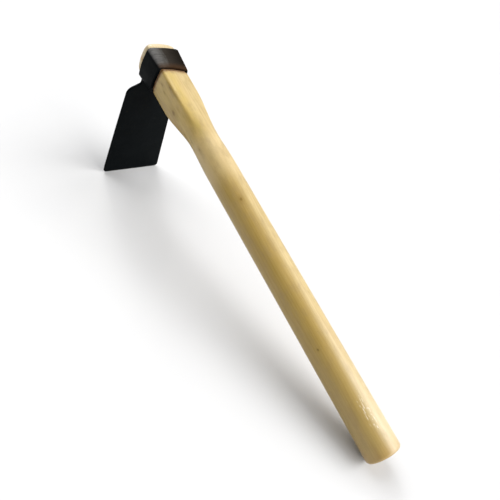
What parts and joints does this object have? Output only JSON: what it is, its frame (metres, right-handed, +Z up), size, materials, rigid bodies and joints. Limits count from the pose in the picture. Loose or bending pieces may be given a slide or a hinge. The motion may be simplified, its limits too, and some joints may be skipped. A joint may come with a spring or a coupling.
{
  "type": "short-handled adze hoe",
  "caption": "Short-handled adze hoe: a straight round wooden handle that swells square into a black steel eye collar, with a flat flared blade set across it.",
  "frame": {"origin": "bottom centre of the bounding box, on the ground plane that the cutting edge and the butt's lower rim rest on", "axes": "+X towards the handle's butt, +Y along the cutting edge, +Z up in the pose the tool stands in"},
  "size_m": [0.4538, 0.078, 0.1723],
  "materials": {
    "handle_wood": "sanded pale hardwood, thinly sealed, satin",
    "black_paint": "satin black paint over forged steel",
    "wedge_wood": "rough sawn end grain",
    "bare_steel": "bare drop-forged steel"
  },
  "bodies": {
    "root": {"handle": "handle_wood", "eye_collar": "black_paint", "blade": "black_paint", "inner_weld": "black_paint", "outer_weld": "black_paint", "wood_wedge": "wedge_wood", "upper_steel_wedge": "bare_steel", "lower_steel_wedge": "bare_steel"}
  },
  "joints": []
}
